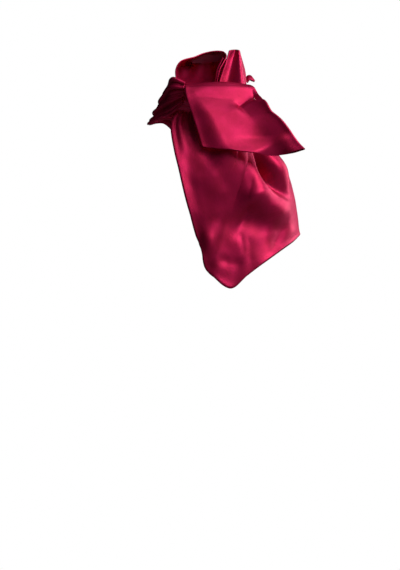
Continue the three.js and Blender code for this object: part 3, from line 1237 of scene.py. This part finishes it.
@dataclass
class StandingFold(CrownStrip):
    """The upright fold behind the loop, with a valley between its two ridges."""

    name: str = "fold_cloth"
    node: str = "standing_fold"
    cut: Cut = Cut(0.045, 0.09, Hold.FOLDED, ("knot", "loop_cloth"))
    rows: tuple[Row, ...] = (
        Row((25, 24.5, 22.5), (9, 33.5, 55)),
        Row((29, 21, 22.5), (19, 32.5, 59)),
        Row((25, 29, 22.6), (15, 38.5, 60.5)),
        Row((31, 45.5, 21.2), (18.5, 41.8, 59.5)),
        Row((20, 49, 20), (9, 43, 58), 1),
        Row((4, 50, 15), (2, 42, 56), 3),
        Row((-14, 43, 12), (-5, 35, 52), 3),
        Row((-25, 34, 15.5), (-19, 29, 55), 1),
        Row((-26, 19.5, 21), (-25.5, 23, 54)),
    )
    mottle: Mottle = Mottle(seed=8, height=0.15, shortest=14.0, longest=30.0)
    row_run: float = 14.0
    width: float = 42.0
    rings: int = 220
    columns: int = 80


@dataclass
class TailTip(ClothPiece):
    """The corner of the folded end, which shows behind the standing fold."""

    name: str = "tip_cloth"
    node: str = "tail_tip"
    cut: Cut = Cut(0.014, 0.011, Hold.FOLDED, ("fold_cloth",))
    rows: tuple[Row, ...] = (
        Row((4, 51.1, 27), (-7, 50.1, 33.3), 1),
        Row((4, 53.5, 29.8), (-6, 53.3, 35), 2),
        Row((2, 56, 29), (-4, 56, 32.5), 1.5),
        Row((0, 58.7, 28.5), (-1.5, 58.7, 30)),
    )
    rings: int = 60
    columns: int = 40
    half: float = 0.8
    roll: float = 1.1

    def mesh(self) -> bpy.types.Object:
        """The corner as one closed doubled mesh."""
        strip = DoubledStrip(StripSurface(self.rows), self.rings, self.columns, self.half, self.roll)
        return strip.build(self.name)


@dataclass
class Knot(ClothPiece):
    """The wound lump on the crown: turns of cloth that overlap like shingles round a squarish core.

    sway is how far the turns wander along X as they go round, in turns, and shingle_edge the share of a
    turn over which it ends. map_size is the cloth round the lump and across it.
    """

    name: str = "knot_cloth"
    node: str = "knot"
    cut: Cut = Cut(0.105, 0.058, Hold.GATHERED, ("band_cloth",))
    centre: Point = (-3.0, 5.0, 12.0)
    radii: Point = (28.0, 40.0, 11.3)
    squareness: float = 3.0
    head_radius: float = 94.5
    turns: float = 4.0
    turn_height: float = 2.2
    sway: float = 0.35
    sway_from: float = 0.7
    shingle_edge: Span = (0.84, 1.0)
    mottle: Mottle = Mottle(seed=31, height=0.5, shortest=10.0, longest=26.0)
    mottle_runs: Spot = (20.0, 14.0)
    map_size: Spot = (150.0, 56.0)
    sizes: tuple[int, int] = (180, 220)

    def points(self, pole: Array, turn: Array) -> Array:
        """Points of the lump: a squared ellipsoid raised by overlapping turns.

        A unit sphere about X is divided by the cube root of the sum of its cubed coordinates and scaled by
        the radii. Each turn rises slowly across X and ends in a steep edge, and behind the crown the lump
        follows the head down.

        Args:
            pole: Angles from the +X pole.
            turn: Angles round X.

        Returns:
            The points in millimetres.
        """
        radii = np.array(self.radii)
        ball = np.stack([np.cos(pole), np.sin(pole) * np.cos(turn), np.sin(pole) * np.sin(turn)], axis=-1)
        reach = (np.abs(ball) ** self.squareness).sum(axis=-1, keepdims=True) ** (1.0 / self.squareness)
        points = ball / reach * radii
        place = self.turns * (0.5 * ball[..., 0] / reach[..., 0] + 0.5)
        place = place + self.sway * np.sin(turn + self.sway_from)
        share = place - np.floor(place)
        shingle = share - ramp(share, *self.shingle_edge)
        once, twice = self.mottle_runs
        uneven = self.mottle.rise(points[..., 0], once * np.cos(turn) + twice * np.sin(2.0 * turn))
        height = np.sin(pole) ** 2 * (self.turn_height * shingle + uneven)
        points = points + unit(ball / np.sqrt(radii)) * height[..., None] + np.array(self.centre)
        points[..., 2] -= np.maximum(points[..., 1], 0.0) ** 2 / (2.0 * self.head_radius)
        return points

    def mesh(self) -> bpy.types.Object:
        """The lump as one closed mesh: rings from pole to pole, and a fan of triangles at each pole.

        Returns:
            The bare mesh object.
        """
        tall, wide = self.sizes
        pole = np.linspace(0.0, math.pi, tall + 1)[1:-1]
        turn = np.linspace(0.0, math.tau, wide, endpoint=False)
        grid = self.points(*np.meshgrid(pole, turn, indexing="ij"))
        tips = self.points(np.array([0.0, math.pi]), np.array([0.0, 0.0]))
        points = np.concatenate([grid.reshape(-1, 3), tips])
        quads = grid_quads(len(pole), wide, closed=True)
        tris = end_fans(len(pole), wide)
        corners = np.concatenate([quads.reshape(-1), tris.reshape(-1)])
        shares = np.stack([(corners % wide) / wide, (corners // wide) / tall], axis=-1)
        return mesh_object(self.name, points * MM, quads, tris, shares * np.array(self.map_size) * MM)


@dataclass
class TackStitch:
    """The small tack stitch that draws the flap in at its dimple.

    spot is its (y, z) place, sink how deep its ends lie in the cloth, and slant its direction in the side
    view. The flap's outer face there lies beyond outer_from along X, and is searched for within search.
    """

    name: str = "tack_stitch"
    spot: Spot = (57.2, 4.1)
    slant: Spot = (0.6, -0.8)
    length: float = 2.2
    height: float = 0.55
    sink: float = 0.35
    radius: float = 0.34
    thinnest: float = 0.02
    outer_from: float = 55.0
    search: float = 2.0
    sizes: tuple[int, int] = (14, 10)

    def foot(self, flap: bpy.types.Object) -> Array:
        """The place on the flap's outer face where the stitch sits.

        Args:
            flap: The finished flap.

        Returns:
            The outermost x round the spot, with y and z of the vertex nearest to it.
        """
        flat = np.empty(len(flap.data.vertices) * 3, np.float32)
        flap.data.vertices.foreach_get("co", flat)
        cloth = flat.reshape(-1, 3) / MM
        outer = cloth[cloth[:, 0] > self.outer_from]
        away = np.hypot(outer[:, 1] - self.spot[0], outer[:, 2] - self.spot[1])
        nearest = outer[np.argmin(away)]
        return np.array([outer[away < self.search, 0].max(), nearest[1], nearest[2]])

    def build(self, flap: bpy.types.Object) -> bpy.types.Object:
        """The stitch as a thread tube: circles carried along an arch over the flap's outer face.

        Args:
            flap: The finished flap, which carries the stitch.

        Returns:
            The dressed stitch.
        """
        along, around = self.sizes
        share = np.linspace(0.0, 1.0, along)
        run = self.length * (share - 0.5)
        lift = self.height * arch(share) - self.sink
        path = self.foot(flap) + np.stack([lift, self.slant[0] * run, self.slant[1] * run], axis=-1)
        tangent = unit(np.gradient(path, axis=0))
        side = unit(np.cross(tangent, np.array([1.0, 0.0, 0.0])))
        upward = np.cross(side, tangent)
        angle = np.linspace(0.0, math.tau, around, endpoint=False)
        radius = self.radius * np.sqrt(np.maximum(arch(share), self.thinnest))[:, None, None]
        ring = np.cos(angle)[:, None] * side[:, None] + np.sin(angle)[:, None] * upward[:, None]
        points = np.concatenate([(path[:, None] + radius * ring).reshape(-1, 3), path[[0, -1]]])
        quads = grid_quads(along, around, closed=True)
        tris = end_fans(along, around)
        plain_map = np.zeros((quads.size + tris.size, 2))
        piece = mesh_object(self.name, points * MM, quads, tris, plain_map)
        piece.data.materials.append(ThreadFinish().material())
        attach(piece, BODY)
        return piece


@dataclass(frozen=True)
class SoftLight:
    """A square soft box: its place, its side, its power and what it faces."""

    name: str
    place: Point
    side: float
    power: float
    facing: Point = (0.0, 0.03, -0.08)

    def build(self) -> None:
        """Make the light: an area lamp whose -Z axis points from its place to what it faces."""
        lamp = bpy.data.lights.new(self.name, "AREA")
        lamp.shape = "SQUARE"
        lamp.size = self.side
        lamp.energy = self.power
        made = link_object(self.name, lamp)
        made.location = self.place
        x, y, z = np.array(self.facing) - np.array(self.place)
        made.rotation_euler = (math.atan2(math.hypot(x, y), -z), 0.0, math.atan2(y, x) - math.pi / 2.0)


@dataclass
class Studio:
    """Camera at the photograph's angle, soft boxes, a pale floor and a white surround, in metres.

    surround_glow is what the camera sees of the surround, and surround_light what reaches the cloth.
    """

    camera_place: Point = (1.8, 0.0016, -0.1848)
    lens: float = 108.25
    sensor: float = 36.0
    floor_height: float = -0.46
    floor_reach: float = 9.0
    floor_points: int = 9
    surround_glow: float = 1.0
    surround_light: float = 0.01
    lights: tuple[SoftLight, ...] = (
        SoftLight("key", (0.9, 1.05, 1.05), 1.1, 24.0),
        SoftLight("fill", (1.3, 0.2, 0.7), 0.9, 0.8),
        SoftLight("top", (0.5, 0.3, 1.3), 1.0, 3.0),
        SoftLight("rim", (-0.7, 1.3, 0.3), 1.0, 12.0),
    )

    def camera(self) -> None:
        """A camera that looks level along -X, with its sensor's long side upright in the picture."""
        lens = bpy.data.cameras.new("camera")
        lens.lens = self.lens
        lens.sensor_width = self.sensor
        made = link_object("camera", lens)
        made.location = self.camera_place
        made.rotation_euler = (math.pi / 2.0, 0.0, math.pi / 2.0)
        bpy.context.scene.camera = made

    def floor(self) -> None:
        """A plain pale floor: a square grid of points at one height."""
        line = np.linspace(-self.floor_reach, self.floor_reach, self.floor_points)
        x, y = np.meshgrid(line, line, indexing="ij")
        points = np.stack([x, y, np.full_like(x, self.floor_height)], axis=-1).reshape(-1, 3)
        quads = grid_quads(self.floor_points, self.floor_points, closed=False)
        mesh = bpy.data.meshes.new("floor")
        mesh.from_pydata(points.tolist(), [], quads.tolist())
        mesh.materials.append(FloorFinish().material())
        link_object("floor", mesh)

    def sky(self) -> None:
        """A white surround that lights the cloth only a little."""
        world = bpy.data.worlds.new("surround")
        world.use_nodes = True
        bench = NodeBench(world.node_tree)
        seen = bench.find("BACKGROUND")
        bench.fill(seen, {"Color": WHITE, "Strength": self.surround_glow})
        dim = bench.add("ShaderNodeBackground", {"Color": WHITE, "Strength": self.surround_light})
        bench.split_sight(dim, seen, "OUTPUT_WORLD")
        bpy.context.scene.world = world

    def build(self) -> None:
        """Set the camera, the lights, the floor and the surround."""
        self.camera()
        for light in self.lights:
            light.build()
        self.floor()
        self.sky()
        bpy.context.scene.view_settings.view_transform = "Standard"


def report(piece: bpy.types.Object) -> None:
    """Log a finished piece and its number of faces."""
    LOG.info("%s: %d faces", piece.name, len(piece.data.polygons))


def main() -> None:
    """Load the frame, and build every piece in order."""
    logging.basicConfig(level=logging.INFO, format="%(name)s %(message)s")
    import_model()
    Studio().build()
    report(HeadBand().build())
    report(Knot().build())
    flap = SideFlap().build()
    report(flap)
    report(TackStitch().build(flap))
    for crown_piece in (CrownLoop(), StandingFold(), TailTip()):
        report(crown_piece.build())


if __name__ == "__main__":
    main()
